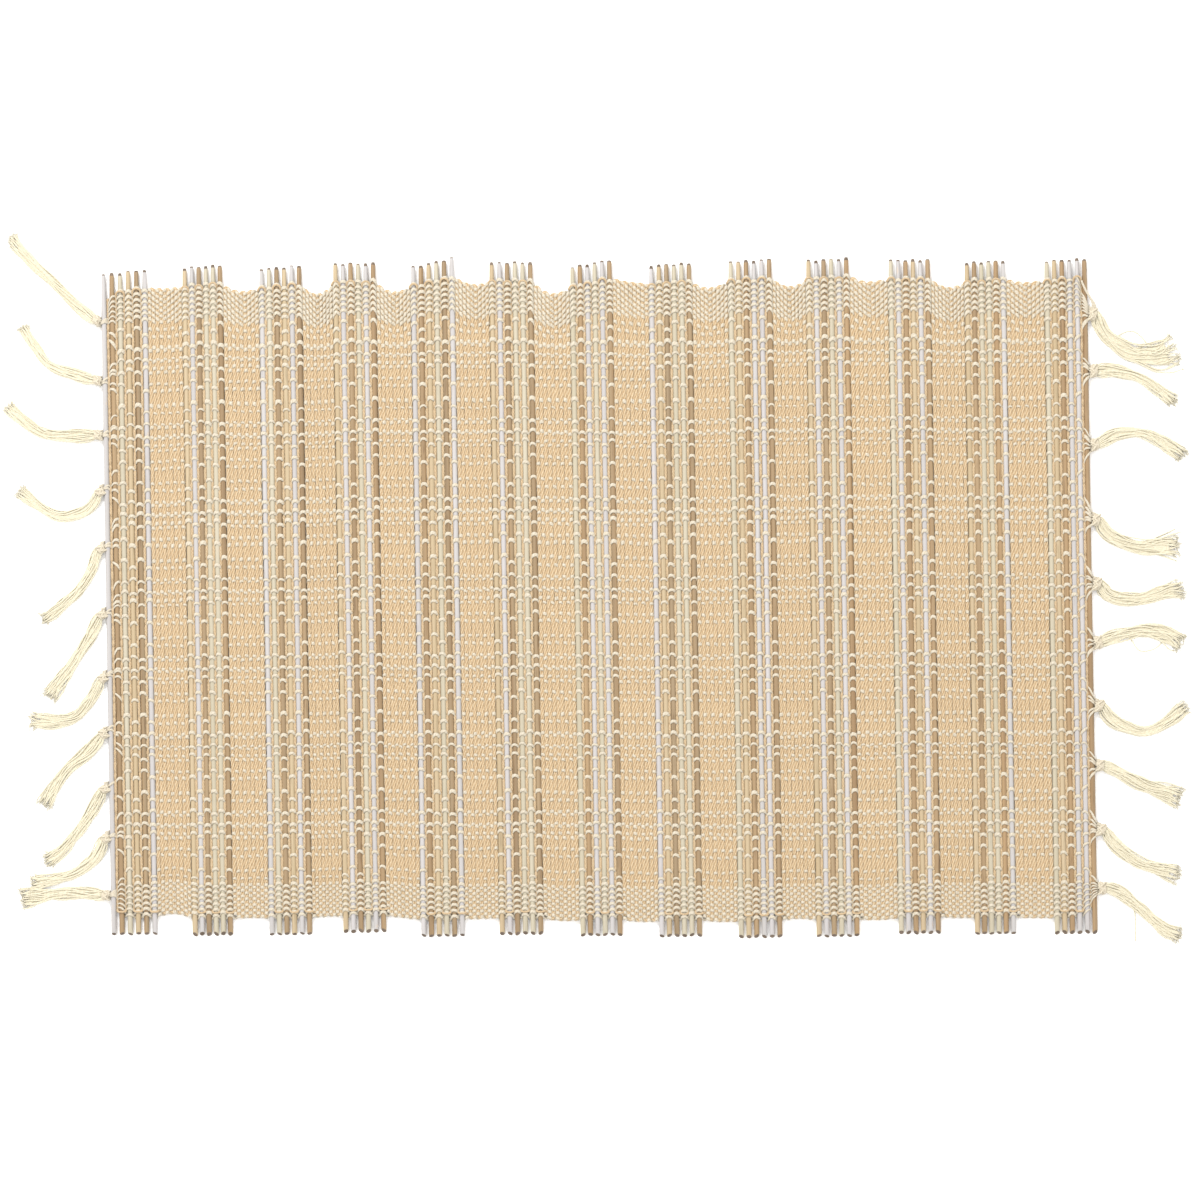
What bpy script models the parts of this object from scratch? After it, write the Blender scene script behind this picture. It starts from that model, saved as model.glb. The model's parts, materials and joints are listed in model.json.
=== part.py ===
"""Bath mat of painted and natural round sticks, woven together by cotton bands, with a tied fringe.

The mat lies flat on the XY plane. X runs along its length, Y along the sticks, Z is up.
Each stick group is six sticks held side by side by the warp that passes over and under them.
Each woven band turns about the outer sticks beside it, and each tassel about an end stick.
"""

import math

import bmesh
import bpy

COLLECTION = "bath_mat"

# Places the middle of the whole mat, fringe included, at X = Y = 0
FRAME_X = 0.001298
FRAME_Y = -0.006580

# Sticks
STICK_RADIUS = 0.0016
STICK_SIDES = 10
STICKS_PER_GROUP = 6
STICK_PITCH = (0.0050, 0.0043, 0.0046, 0.0046, 0.0047, 0.0047, 0.0045,
               0.0046, 0.0047, 0.0046, 0.0045, 0.0044, 0.0046)
STICK_LENGTH = (0.404, 0.408, 0.407, 0.408, 0.411, 0.410, 0.410,
                0.410, 0.413, 0.413, 0.411, 0.410, 0.411)
STICK_SHIFT = (0.0025, 0.0032, 0.0024, 0.0035, 0.0018, 0.0016, 0.0002,
               -0.0011, -0.0011, -0.0012, -0.0013, -0.0026, -0.0028)
STICK_STEP = (0.0005, 0.0003, 0.0003, 0.0, 0.0010, 0.0, 0.0008,
              0.0002, 0.0002, 0.0002, 0.0, 0.0002, 0.0002)
STICK_SCATTER = 0.0005
GROUP_SPACING = (0.0477, 0.0475, 0.0451, 0.0476, 0.0478, 0.0487,
                 0.0482, 0.0486, 0.0472, 0.0498, 0.0461, 0.0491)

# Lashing web that the warp makes between the sticks of a group
WEB_HALF = 0.0009
BARE_TOP = 0.0100
BARE_BOTTOM = 0.0115

# Woven bands
MID_HEIGHT = 0.0023
BAND_HALF = 0.0023
BAND_BEVEL = 0.0012
BAND_TOP = (0.1949, 0.1923, 0.1903, 0.1905, 0.1943, 0.1878,
            0.1940, 0.1898, 0.1900, 0.1916, 0.1878, 0.1898)
BAND_BOTTOM = (-0.1864, -0.1896, -0.1897, -0.1910, -0.1924, -0.1944,
               -0.1958, -0.1966, -0.1956, -0.1969, -0.1965, -0.1973)
EDGE_STEPS = 4
CLEARANCE = 0.0003

# Tassels: place along the stick, length, and heading at the knot, the thirds and the tip.
# A heading is in degrees from straight outward, towards +Y.
TASSEL_RADIUS = 0.0023
KNOT_RADIUS = 0.0030
NECK_RADIUS = 0.0018
KNOT_LENGTH = 0.0062
TASSEL_STEPS = 9
LEFT_TASSELS = (
    (0.1742, 0.076, (40, 44, 46, 53)),
    (0.1382, 0.063, (5, 20, 48, 62)),
    (0.1054, 0.063, (0, 2, 26, 48)),
    (0.0725, 0.063, (-62, -8, 22, 44)),
    (0.0378, 0.060, (-70, -60, -38, -35)),
    (-0.0024, 0.060, (-62, -58, -54, -52)),
    (-0.0408, 0.060, (-65, -52, -6, 8)),
    (-0.0749, 0.061, (-54, -42, -48, -62)),
    (-0.1084, 0.061, (-65, -56, -48, -30)),
    (-0.1385, 0.060, (-72, -38, -12, -4)),
    (-0.1750, 0.055, (6, 2, -6, -13)),
)
RIGHT_TASSELS = (
    (0.1748, 0.067, (-68, -46, -14, 12)),
    (0.1346, 0.058, (4, -16, -36, -40)),
    (0.0895, 0.063, (38, 18, -28, -35)),
    (0.0445, 0.054, (-50, -44, -2, 4)),
    (0.0055, 0.060, (-60, 16, 16, 6)),
    (-0.0310, 0.056, (12, 24, -12, -38)),
    (-0.0688, 0.067, (-58, -40, 22, 42)),
    (-0.1054, 0.057, (-26, -28, -20, -25)),
    (-0.1443, 0.060, (-46, -48, -32, -20)),
    (-0.1803, 0.060, (-14, -42, -42, -22)),
)

GROUPS = len(STICK_PITCH)
BANDS = GROUPS - 1


def clear_scene():
    for obj in list(bpy.data.objects):
        bpy.data.objects.remove(obj)


def make_collection():
    collection = bpy.data.collections.new(COLLECTION)
    bpy.context.scene.collection.children.link(collection)
    return collection


def make_cutter_collection():
    collection = bpy.data.collections.new("cutters")
    bpy.context.scene.collection.children.link(collection)
    return collection


def make_material(name, color, roughness):
    material = bpy.data.materials.new(name)
    material.use_nodes = True
    shader = material.node_tree.nodes["Principled BSDF"]
    shader.inputs["Base Color"].default_value = (*color, 1.0)
    shader.inputs["Roughness"].default_value = roughness
    shader.inputs["Metallic"].default_value = 0.0
    return material


def wood_material():
    return make_material("stick_wood", (0.62, 0.50, 0.36), 0.55)


def weft_material():
    return make_material("weft_cotton", (0.80, 0.64, 0.44), 0.90)


def warp_material():
    return make_material("warp_cotton", (0.88, 0.82, 0.64), 0.92)


def group_centres():
    """X of the middle of each stick group."""
    total = sum(GROUP_SPACING)
    x = -total / 2
    centres = [x]
    for step in GROUP_SPACING:
        x += step
        centres.append(x)
    return centres


def outer_stick(centres, group, side):
    """X of the axis of a group's first (side -1) or last (side +1) stick."""
    return centres[group] + side * STICK_PITCH[group] * (STICKS_PER_GROUP - 1) / 2


def stick_ends(group, stick):
    """Lowest and highest Y of one stick."""
    rise = STICK_STEP[group] * (stick - (STICKS_PER_GROUP - 1) / 2)
    scatter = STICK_SCATTER * math.sin(2.4 * stick + 5.1 * group)
    low = STICK_SHIFT[group] - STICK_LENGTH[group] / 2 + 0.4 * scatter
    high = STICK_SHIFT[group] + STICK_LENGTH[group] / 2 + rise + scatter
    return low, high


def lashed_span(group):
    """Lowest and highest Y that the warp reaches on a stick group."""
    middle = STICK_SHIFT[group]
    half = STICK_LENGTH[group] / 2
    return middle - half + BARE_BOTTOM, middle + half - BARE_TOP


def new_object(name, data, collection, location):
    obj = bpy.data.objects.new(name, data)
    collection.objects.link(obj)
    x, y, z = location
    obj.location = (x + FRAME_X, y + FRAME_Y, z)
    return obj


def mesh_from(bm, name):
    mesh = bpy.data.meshes.new(name)
    bmesh.ops.recalc_face_normals(bm, faces=bm.faces)
    bm.to_mesh(mesh)
    bm.free()
    return mesh


def shade_round(obj):
    for polygon in obj.data.polygons:
        polygon.use_smooth = True
    obj.data.set_sharp_from_angle(angle=math.radians(40))


def add_stick(bm, x, low, high):
    """A round stick along Y, from low to high."""
    made = bmesh.ops.create_cone(
        bm,
        cap_ends=True,
        segments=STICK_SIDES,
        radius1=STICK_RADIUS,
        radius2=STICK_RADIUS,
        depth=high - low,
    )
    for vert in made["verts"]:
        across, along = vert.co.y, vert.co.z
        vert.co.y = along + (low + high) / 2
        vert.co.z = -across
        vert.co.x += x


def stick_cutter(name, group, origin, cutters, centres):
    """The six sticks of a group, as the solids that are joined to its web."""
    bm = bmesh.new()
    for stick in range(STICKS_PER_GROUP):
        x = outer_stick(centres, group, -1) + stick * STICK_PITCH[group]
        low, high = stick_ends(group, stick)
        add_stick(bm, x - origin[0], low - origin[1], high - origin[1])
    obj = new_object(name + "_sticks", mesh_from(bm, name + "_sticks"), cutters, origin)
    obj.hide_render = True
    obj.display_type = "WIRE"
    shade_round(obj)
    return obj


def make_group(group, collection, cutters, centres, material):
    """Six sticks joined by the thin web of warp that crosses them."""
    name = f"stick_group_{group + 1:02d}"
    last = group == GROUPS - 1
    hinge = centres[group] if last else outer_stick(centres, group, 1)
    origin = (hinge, 0.0, MID_HEIGHT)
    low, high = lashed_span(group)
    left = outer_stick(centres, group, -1) - hinge
    right = outer_stick(centres, group, 1) - hinge
    bm = bmesh.new()
    bmesh.ops.create_cube(bm, size=1.0)
    for vert in bm.verts:
        vert.co.x = right if vert.co.x > 0 else left
        vert.co.y = high if vert.co.y > 0 else low
        vert.co.z = WEB_HALF if vert.co.z > 0 else -WEB_HALF
    obj = new_object(name, mesh_from(bm, name), collection, origin)
    obj.data.materials.append(material)
    join = obj.modifiers.new("sticks", "BOOLEAN")
    join.operation = "UNION"
    join.solver = "EXACT"
    join.object = stick_cutter(name, group, origin, cutters, centres)
    return obj


def edge_line(x0, x1, y0, y1, y_mid):
    """Points of a band's woven end, from one side to the other, hollow in the middle."""
    points = []
    for step in range(EDGE_STEPS + 1):
        t = step / EDGE_STEPS
        straight = y0 + (y1 - y0) * t
        sink = y_mid - (y0 + y1) / 2
        points.append((x0 + (x1 - x0) * t, straight + sink * 4 * t * (1 - t)))
    return points


def make_band(band, collection, centres, material):
    """A woven cotton band between two stick groups."""
    name = f"woven_band_{band + 1:02d}"
    hinge = outer_stick(centres, band + 1, -1)
    margin = STICK_RADIUS + CLEARANCE
    x0 = outer_stick(centres, band, 1) + margin - hinge
    x1 = -margin
    low_left, high_left = lashed_span(band)
    low_right, high_right = lashed_span(band + 1)
    top = edge_line(x0, x1, high_left, high_right, BAND_TOP[band])
    bottom = edge_line(x0, x1, low_left, low_right, BAND_BOTTOM[band])
    outline = bottom + top[::-1]
    bm = bmesh.new()
    verts = [bm.verts.new((x, y, -BAND_HALF)) for x, y in outline]
    face = bm.faces.new(verts)
    raised = bmesh.ops.extrude_face_region(bm, geom=[face])
    for item in raised["geom"]:
        if isinstance(item, bmesh.types.BMVert):
            item.co.z = BAND_HALF
    obj = new_object(name, mesh_from(bm, name), collection, (hinge, 0.0, MID_HEIGHT))
    obj.data.materials.append(material)
    bevel = obj.modifiers.new("soft_edge", "BEVEL")
    bevel.width = BAND_BEVEL
    bevel.segments = 1
    bevel.limit_method = "ANGLE"
    bevel.angle_limit = math.radians(50)
    return obj


def heading_at(headings, t):
    """Heading in degrees at a share t of the tassel's length."""
    place = t * (len(headings) - 1)
    index = min(int(place), len(headings) - 2)
    share = place - index
    share = share * share * (3 - 2 * share)
    return headings[index] + (headings[index + 1] - headings[index]) * share


def tassel_path(side, length, headings):
    """Points from the knot's inner end to the tip, with the radius at each."""
    x, y = side * (STICK_RADIUS + CLEARANCE), 0.0
    path = [(x, y, KNOT_RADIUS * 0.72)]
    x += side * KNOT_LENGTH * 0.45
    path.append((x, y, KNOT_RADIUS))
    x += side * KNOT_LENGTH * 0.55
    path.append((x, y, NECK_RADIUS))
    fine = 24
    step = (length - KNOT_LENGTH) / (fine * TASSEL_STEPS)
    for n in range(1, fine * TASSEL_STEPS + 1):
        t = (n - 0.5) / (fine * TASSEL_STEPS)
        angle = math.radians(heading_at(headings, t))
        x += side * step * math.cos(angle)
        y += step * math.sin(angle)
        if n % fine == 0:
            grown = min(1.0, 3.0 * n / (fine * TASSEL_STEPS))
            radius = NECK_RADIUS + (TASSEL_RADIUS - NECK_RADIUS) * grown
            path.append((x, y, radius))
    return path


def make_tassel(side, number, row, collection, centres, material):
    """A knotted bundle of loose warp ends, lying on the floor."""
    place, length, headings = row
    name = f"tassel_{'left' if side < 0 else 'right'}_{number:02d}"
    group = 0 if side < 0 else GROUPS - 1
    origin = (outer_stick(centres, group, side), place, MID_HEIGHT)
    path = tassel_path(side, length, headings)
    curve = bpy.data.curves.new(name, "CURVE")
    curve.dimensions = "3D"
    curve.bevel_depth = 1.0
    curve.bevel_resolution = 2
    curve.use_fill_caps = True
    spline = curve.splines.new("POLY")
    spline.points.add(len(path) - 1)
    for point, (x, y, radius) in zip(spline.points, path):
        point.co = (x, y, radius - MID_HEIGHT, 1.0)
        point.radius = radius
    curve.materials.append(material)
    return new_object(name, curve, collection, origin)


def build():
    clear_scene()
    collection = make_collection()
    cutters = make_cutter_collection()
    centres = group_centres()
    wood = wood_material()
    weft = weft_material()
    warp = warp_material()
    for group in range(GROUPS):
        make_group(group, collection, cutters, centres, wood)
    for band in range(BANDS):
        make_band(band, collection, centres, weft)
    for number, row in enumerate(LEFT_TASSELS, 1):
        make_tassel(-1, number, row, collection, centres, warp)
    for number, row in enumerate(RIGHT_TASSELS, 1):
        make_tassel(1, number, row, collection, centres, warp)


build()
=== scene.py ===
"""Looks of a bath mat: round sticks in groups of six between woven cotton bands, with knotted tassels.

Every yarn is a mesh tube. Warp yarns run along X over and under the sticks and the weft picks,
weft picks run along Y inside each band, and the warp ends are gathered into knots and tassels.
"""

import json
import math

import bpy
import numpy as np
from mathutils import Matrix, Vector


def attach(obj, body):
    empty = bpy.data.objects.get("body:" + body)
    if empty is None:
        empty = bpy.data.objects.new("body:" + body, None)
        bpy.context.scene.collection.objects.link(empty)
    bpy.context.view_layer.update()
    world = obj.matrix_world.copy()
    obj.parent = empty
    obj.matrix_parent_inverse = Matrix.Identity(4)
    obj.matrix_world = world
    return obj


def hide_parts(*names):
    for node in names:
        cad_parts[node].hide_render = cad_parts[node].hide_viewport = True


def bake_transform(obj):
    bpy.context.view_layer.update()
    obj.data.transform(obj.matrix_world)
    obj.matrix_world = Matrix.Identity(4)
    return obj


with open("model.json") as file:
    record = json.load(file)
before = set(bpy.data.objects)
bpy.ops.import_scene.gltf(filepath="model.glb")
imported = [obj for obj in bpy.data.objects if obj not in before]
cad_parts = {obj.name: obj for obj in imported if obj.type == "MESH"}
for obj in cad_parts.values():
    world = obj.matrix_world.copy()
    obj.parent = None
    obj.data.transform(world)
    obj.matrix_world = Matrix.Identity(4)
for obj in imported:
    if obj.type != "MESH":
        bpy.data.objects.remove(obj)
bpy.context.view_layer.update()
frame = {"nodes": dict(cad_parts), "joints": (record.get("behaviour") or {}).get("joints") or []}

MM = 0.001

# Sticks
STICK_RADIUS = 1.6 * MM
STICKS = 6
STICK_SIDES = 16
STICK_RINGS = 22
STICK_CUT = 2.2 * MM
STICK_TAPER = 1.4 * MM
STICK_TIP = 0.58
STICK_BOW = 0.16 * MM
SLENDER_FROM = 13 * MM
SLENDER_TO = 9 * MM
BARE_TOP = 9.7 * MM     # bare wood above the weave
BARE_BOTTOM = 11.0 * MM
MID = 2.3 * MM          # height of the mat's middle above the floor

# Warp yarns, which run along X
WARP_RADIUS = 0.33 * MM
WARP_WIDE = 1.9
WARP_LOWEST = 0.44 * MM
WARP_SIDES = 8
STICK_LIFT = STICK_RADIUS + 0.33 * MM
STICK_GAP = STICK_RADIUS + 0.35 * MM
PICK_LIFT = 1.32 * MM
ARCH = 0.85             # how far a yarn bows towards +Y for each unit that it rises over a stick
PICK_ARCH = 0.35        # and over a pick
CROSSING_SHIFT = 0.25 * MM
ROW_WANDER = 0.24 * MM
SCALLOP_FULL = 14 * MM  # rows nearer the woven end than this follow its scallops
SCALLOP_NONE = 52 * MM
BORDER_SKEW = 0.80 * MM
FIELD_SKEW = 0.30 * MM
SKEW_FULL = 20 * MM
SKEW_NONE = 34 * MM
SKEW_SLOPE = 0.07
BORDER_ROWS = 12
BORDER_PITCH = 1.75 * MM
BORDER_START_TOP = 2.6 * MM
BORDER_START_BOTTOM = 0.4 * MM
BOTTOM_LEAN = 0.2
FIELD_FIRST = 24.5 * MM
FIELD_LAST = 22.0 * MM
FIELD_PHASE = 6.5 * MM
FIELD_PERIOD = 47.7 * MM
FIELD_OVER_EVEN = (0.0, 6.9, 20.2, 33.7, 39.3)
FIELD_OVER_ODD = (11.2, 24.9, 31.9, 40.6, 45.0)

# Weft picks of the bands
PICKS = 9
PICK_HALF_HEIGHT = 1.06 * MM
PICK_LOBES = 5
PICK_LAY = 20.0 * MM
PICK_FULL = 1.18
PICK_SQUARE = 0.8
PICK_END_TOP = 3.1 * MM
PICK_END_BOTTOM = 2.1 * MM
PICK_STEP = 1.0 * MM
PICK_TURN = 0.625       # how far a pick's turn stands out, as a share of the pitch
TURN_STEPS = 6
PICK_MARGIN = STICK_RADIUS + 0.25 * MM
NUDGE_REACH = 1.6 * MM
NUDGE = 0.20 * MM
BORDER_PRESS = 0.12
PRESS_FULL = 19 * MM
PRESS_NONE = 23 * MM

# Weft yarn of the stick groups
THREAD_RADIUS = 1.04 * MM
THREAD_TALL = 0.82
THREAD_RAISE = 0.50 * MM
THREAD_PRESS = 0.75 * MM
THREAD_STEP = 0.8 * MM
THREAD_LAY = 11.0 * MM
LOOP_RADIUS = 0.60 * MM
LOOP_RISE_TOP = 2.6 * MM
LOOP_RISE_BOTTOM = 0.8 * MM
LOOP_END = 4.0 * MM
LOOP_STEPS = 12

PAINTS = {"W": "paint_white", "C": "paint_cream", "N": "wood_natural", "B": "wood_brown"}
SLENDER_TIPS = {"W": 0.22, "C": 0.22, "N": 0.20, "B": 0.13}
STICK_COLOURS = (
    "WBCNBW", "NWBCCB", "WCBNWB", "NWBCWB", "WBNCBW", "NWBCCB", "CBWCWB",
    "WNBCCB", "CNBWWB", "NWBCWB", "CWBNWB", "NBCCBW", "CNBWWB",
)

GROUPS = len(STICK_COLOURS)
BANDS = GROUPS - 1

# Tassels from the top down: length, the headings at the knot, the thirds and the tip in degrees
# from straight outward towards +Y, and half the width of the loose tip in millimetres
LEFT_TASSELS = (
    (0.076, (40, 44, 46, 53), 3.2),
    (0.063, (16, 20, 56, 62), 2.6),
    (0.064, (0, 0, 36, 44), 3.4),
    (0.063, (-66, -14, 34, 44), 3.2),
    (0.060, (-70, -60, -38, -35), 3.2),
    (0.063, (-64, -58, -54, -52), 4.4),
    (0.060, (-65, -52, -6, 8), 5.0),
    (0.061, (-58, -34, -56, -62), 4.6),
    (0.061, (-65, -56, -48, -30), 4.0),
    (0.060, (-72, -38, -12, -4), 4.0),
    (0.055, (6, 2, -6, -13), 5.4),
)
RIGHT_TASSELS = (
    (0.067, (-74, -42, -4, 24), 12.0),
    (0.058, (4, -16, -36, -40), 3.4),
    (0.063, (36, 4, -32, -34), 4.4),
    (0.060, (-68, -24, 0, 2), 7.5),
    (0.060, (-64, 0, 14, 6), 5.5),
    (0.057, (24, 14, -14, -38), 6.5),
    (0.067, (-62, -22, 30, 42), 4.0),
    (0.057, (-26, -28, -20, -25), 6.5),
    (0.060, (-62, -38, -18, -18), 5.0),
    (0.060, (-14, -42, -42, -22), 4.0),
)
KNOT_SHIFTS = {("right", 1): -5.0 * MM}
# Single yarns that have come loose: where they leave the tassel, their headings and their length
STRAYS = {
    ("right", 1): (0.34, (62, 20, -40, -70), 0.028),
    ("right", 4): (0.55, (12, 30, 22, 26), 0.026),
    ("right", 6): (0.28, (-20, -62, 10, 50), 0.030),
    ("right", 10): (0.32, (-60, -84, -92, -88), 0.026),
}
STRAY_RADIUS = 0.42 * MM
KNOT_LENGTH = 5.6 * MM
KNOT_MIDDLE = 2.6 * MM
KNOT_TALL_RIGHT = 3.6 * MM
KNOT_TALL_LEFT = 2.9 * MM
KNOT_DEEP = 1.6 * MM
WRAP_RADIUS = 0.54 * MM
LUMP_RADIUS = 0.62 * MM
OUTSIDE_RADIUS = 0.6 * MM
TASSEL_YARNS = 20
TASSEL_YARN_RADIUS = 0.46 * MM
TASSEL_STEPS = 44
CORE_HEIGHT = 0.95 * MM
CORE_WIDTH = 0.9
CORE_THICK = 0.6 * MM

# Of each yarn: pale tone, deep tone, plies, one turn of them in millimetres (None where the mesh
# itself is twisted) and how light the painted shade in the grooves between them stays
YARN_LOOKS = {
    "weft": ((0.57, 0.461, 0.309), (0.4, 0.291, 0.17), PICK_LOBES, None, 0.0),
    "warp": ((0.539, 0.5, 0.413), (0.461, 0.413, 0.326), 2, 1.9, 0.6),
    # The knots are the same cotton as the fringe; their tones are a darker, greyer copy, painted shade on the
    # knots.
    "knot": ((0.574, 0.531, 0.426), (0.487, 0.435, 0.339), 2, 2.2, 0.6),
    "fringe": ((0.622, 0.592, 0.474), (0.557, 0.509, 0.374), 2, 2.6, 0.7),
}
# Of each stick: pale tone, deep tone, roughness, how much the pores show, the tint that some sticks
# have, and the tone where paint is worn off
STICK_LOOKS = {
    "paint_white": (
        (0.426, 0.406, 0.405), (0.374, 0.356, 0.353), 0.5, 0.35, (0.97, 0.98, 0.96), (0.452, 0.374, 0.296),
    ),
    "paint_cream": (
        (0.430, 0.392, 0.307), (0.374, 0.336, 0.251), 0.5, 0.35, (0.97, 0.96, 0.93), (0.452, 0.374, 0.278),
    ),
    "wood_natural": ((0.430, 0.346, 0.228), (0.364, 0.281, 0.168), 0.55, 0.6, (0.94, 0.92, 0.90), None),
    "wood_brown": ((0.334, 0.224, 0.118), (0.224, 0.142, 0.071), 0.5, 0.7, (0.86, 0.95, 1.08), None),
}

# Stage, light and camera
WORLD_STRENGTH = 1.50
WORLD_COLOUR = (1.0, 0.985, 0.965, 1.0)
KEY_PLACE = (-0.9, 1.8, 1.9)
KEY_SIZE = 0.6
KEY_ENERGY = 57.0
CAMERA_PLACE = (0.0013, -0.0066, 3.4)
CAMERA_ROLL = -0.93
VIEW_WIDTH = 0.7308

rng = np.random.default_rng(26)


# ---- materials ----

def nodes_of(name):
    material = bpy.data.materials.new(name)
    material.use_nodes = True
    tree = material.node_tree
    return material, tree, tree.nodes["Principled BSDF"]


def add(tree, kind, **settings):
    node = tree.nodes.new(kind)
    for key, value in settings.items():
        setattr(node, key, value)
    return node


def connect(tree, socket, value):
    """Link a value to a socket, or set it there. A colour is a tuple without its alpha."""
    if hasattr(value, "links"):
        tree.links.new(value, socket)
    else:
        socket.default_value = (*value, 1.0) if isinstance(value, tuple) else value


def maths(tree, operation, first, second=None):
    node = add(tree, "ShaderNodeMath", operation=operation)
    for socket, value in zip(node.inputs, (first, second)):
        if value is not None:
            connect(tree, socket, value)
    return node.outputs[0]


def mixed(tree, factor, first, second, blend="MIX"):
    node = add(tree, "ShaderNodeMix", data_type="RGBA", blend_type=blend)
    for index, value in ((0, factor), (6, first), (7, second)):
        connect(tree, node.inputs[index], value)
    return node.outputs[2]


def ranged(tree, value, low, high, out_low=0.0, out_high=1.0):
    node = add(tree, "ShaderNodeMapRange", clamp=True)
    tree.links.new(value, node.inputs["Value"])
    for socket, number in zip(node.inputs[1:5], (low, high, out_low, out_high)):
        socket.default_value = number
    return node.outputs[0]


def noise(tree, scale, stretch=(1.0, 1.0, 1.0), detail=3.0):
    place = add(tree, "ShaderNodeTexCoord").outputs["Object"]
    mapping = add(tree, "ShaderNodeMapping")
    mapping.inputs["Scale"].default_value = stretch
    tree.links.new(place, mapping.inputs["Vector"])
    node = add(tree, "ShaderNodeTexNoise")
    node.inputs["Scale"].default_value = scale
    node.inputs["Detail"].default_value = detail
    tree.links.new(mapping.outputs[0], node.inputs["Vector"])
    return node.outputs["Fac"]


def surface(tree, shader, tone, roughness, specular=0.5):
    tree.links.new(tone, shader.inputs["Base Color"])
    shader.inputs["Roughness"].default_value = roughness
    shader.inputs["Specular IOR Level"].default_value = specular


def bumped(tree, shader, height, distance, strength):
    node = add(tree, "ShaderNodeBump")
    node.inputs["Strength"].default_value = strength
    node.inputs["Distance"].default_value = distance
    tree.links.new(height, node.inputs["Height"])
    tree.links.new(node.outputs[0], shader.inputs["Normal"])


def yarn_material(name, pale, deep, plies, lay, groove):
    """Twisted cotton: plies wind round the tube, with fibre streaks along them, uneven dye and painted shade
    in the grooves between the plies.
    """
    material, tree, shader = nodes_of(name)
    uv = add(tree, "ShaderNodeUVMap", uv_map="yarn")
    split = add(tree, "ShaderNodeSeparateXYZ")
    tree.links.new(uv.outputs[0], split.inputs[0])
    turn = maths(tree, "MULTIPLY", split.outputs[0], 1.0 / lay if lay else 0.0)
    around = maths(tree, "MULTIPLY", split.outputs[1], float(plies))
    phase = maths(tree, "MULTIPLY", maths(tree, "ADD", turn, around), 2 * math.pi)
    ply = maths(tree, "ABSOLUTE", maths(tree, "SINE", maths(tree, "MULTIPLY", phase, 0.5)))
    crest = maths(tree, "POWER", ply, 0.55)
    fibres = noise(tree, 1400.0, detail=4.0)
    uneven = noise(tree, 55.0, detail=2.0)
    tone = mixed(tree, ranged(tree, fibres, 0.32, 0.68), deep, pale)
    middle = tuple((a + b) / 2 for a, b in zip(pale, deep))
    tone = mixed(tree, ranged(tree, uneven, 0.35, 0.65, 0.0, 0.5), tone, middle)
    # Painted shade: the grooves between the plies are darkened towards a multiplied deep tone, standing in
    # for the shade that falls in them.
    shade = ranged(tree, crest, 0.0, 1.0, groove, 1.0)
    dark = mixed(tree, 1.0, tone, (0.62, 0.48, 0.35), "MULTIPLY")
    surface(tree, shader, mixed(tree, shade, dark, tone), 0.92, 0.25)
    shader.inputs["Sheen Weight"].default_value = 0.25
    shader.inputs["Sheen Roughness"].default_value = 0.45
    height = maths(tree, "ADD", crest, maths(tree, "MULTIPLY", fibres, 0.7))
    bumped(tree, shader, height, 0.00012, 0.8)
    return material


def stick_material(name, pale, deep, roughness, grain, tint, worn):
    """A round stick: grain and pores run along it, and paint is thin enough to show them."""
    material, tree, shader = nodes_of(name)
    long_grain = noise(tree, 260.0, (1.0, 0.018, 1.0), 5.0)
    pores = noise(tree, 900.0, (1.0, 0.06, 1.0), 3.0)
    patches = noise(tree, 30.0, (1.0, 0.5, 1.0), 2.0)
    tone = mixed(tree, ranged(tree, long_grain, 0.36, 0.64), deep, pale)
    middle = tuple((a + b) / 2 for a, b in zip(pale, deep))
    tone = mixed(tree, ranged(tree, patches, 0.4, 0.65, 0.0, 0.55), tone, middle)
    each_stick = noise(tree, 190.0, (1.0, 0.0, 0.0), 0.0)
    tone = mixed(tree, ranged(tree, each_stick, 0.3, 0.7), tone, tint, "MULTIPLY")
    pore = ranged(tree, pores, 0.60, 0.72, 0.0, grain)
    tone = mixed(tree, pore, tone, tuple(0.62 * c for c in deep))
    if worn:
        scuffs = noise(tree, 420.0, (1.0, 0.22, 1.0), 4.0)
        tone = mixed(tree, ranged(tree, scuffs, 0.66, 0.72, 0.0, 0.7), tone, worn)
    surface(tree, shader, tone, roughness, 0.35)
    height = maths(tree, "SUBTRACT", long_grain, maths(tree, "MULTIPLY", pores, 0.8))
    bumped(tree, shader, height, 0.00010, 0.6)
    return material


def deep_end_material():
    """Stick ends: a dull, very deep brown with open pores, much darker than the sticks, on both caps and the
    last rings of each tip.
    """
    material, tree, shader = nodes_of("stick_deep_ends")
    pores = noise(tree, 2600.0)
    stain = noise(tree, 240.0, detail=2.0)
    tone = mixed(tree, ranged(tree, pores, 0.35, 0.65), (0.061, 0.042, 0.03), (0.148, 0.109, 0.078))
    tone = mixed(tree, ranged(tree, stain, 0.45, 0.62, 0.0, 0.4), tone, (0.217, 0.165, 0.122))
    surface(tree, shader, tone, 0.88)
    bumped(tree, shader, pores, 0.0002, 0.8)
    return material


def floor_material():
    material, tree, shader = nodes_of("floor_pale")
    cloud = noise(tree, 3.0, detail=2.0)
    tone = mixed(tree, ranged(tree, cloud, 0.3, 0.7), (0.955, 0.955, 0.955), (0.965, 0.965, 0.965))
    surface(tree, shader, tone, 0.9, 0.1)
    return material


def make_materials():
    materials = {word: yarn_material(f"{word}_cotton_yarn", *look) for word, look in YARN_LOOKS.items()}
    materials |= {name: stick_material(name, *look) for name, look in STICK_LOOKS.items()}
    materials["end"] = deep_end_material()
    materials["floor"] = floor_material()
    return materials


# ---- mesh tubes ----

UP = (0, 0, 1)


def unit(vectors):
    return vectors / np.maximum(np.linalg.norm(vectors, axis=-1, keepdims=True), 1e-12)


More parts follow.
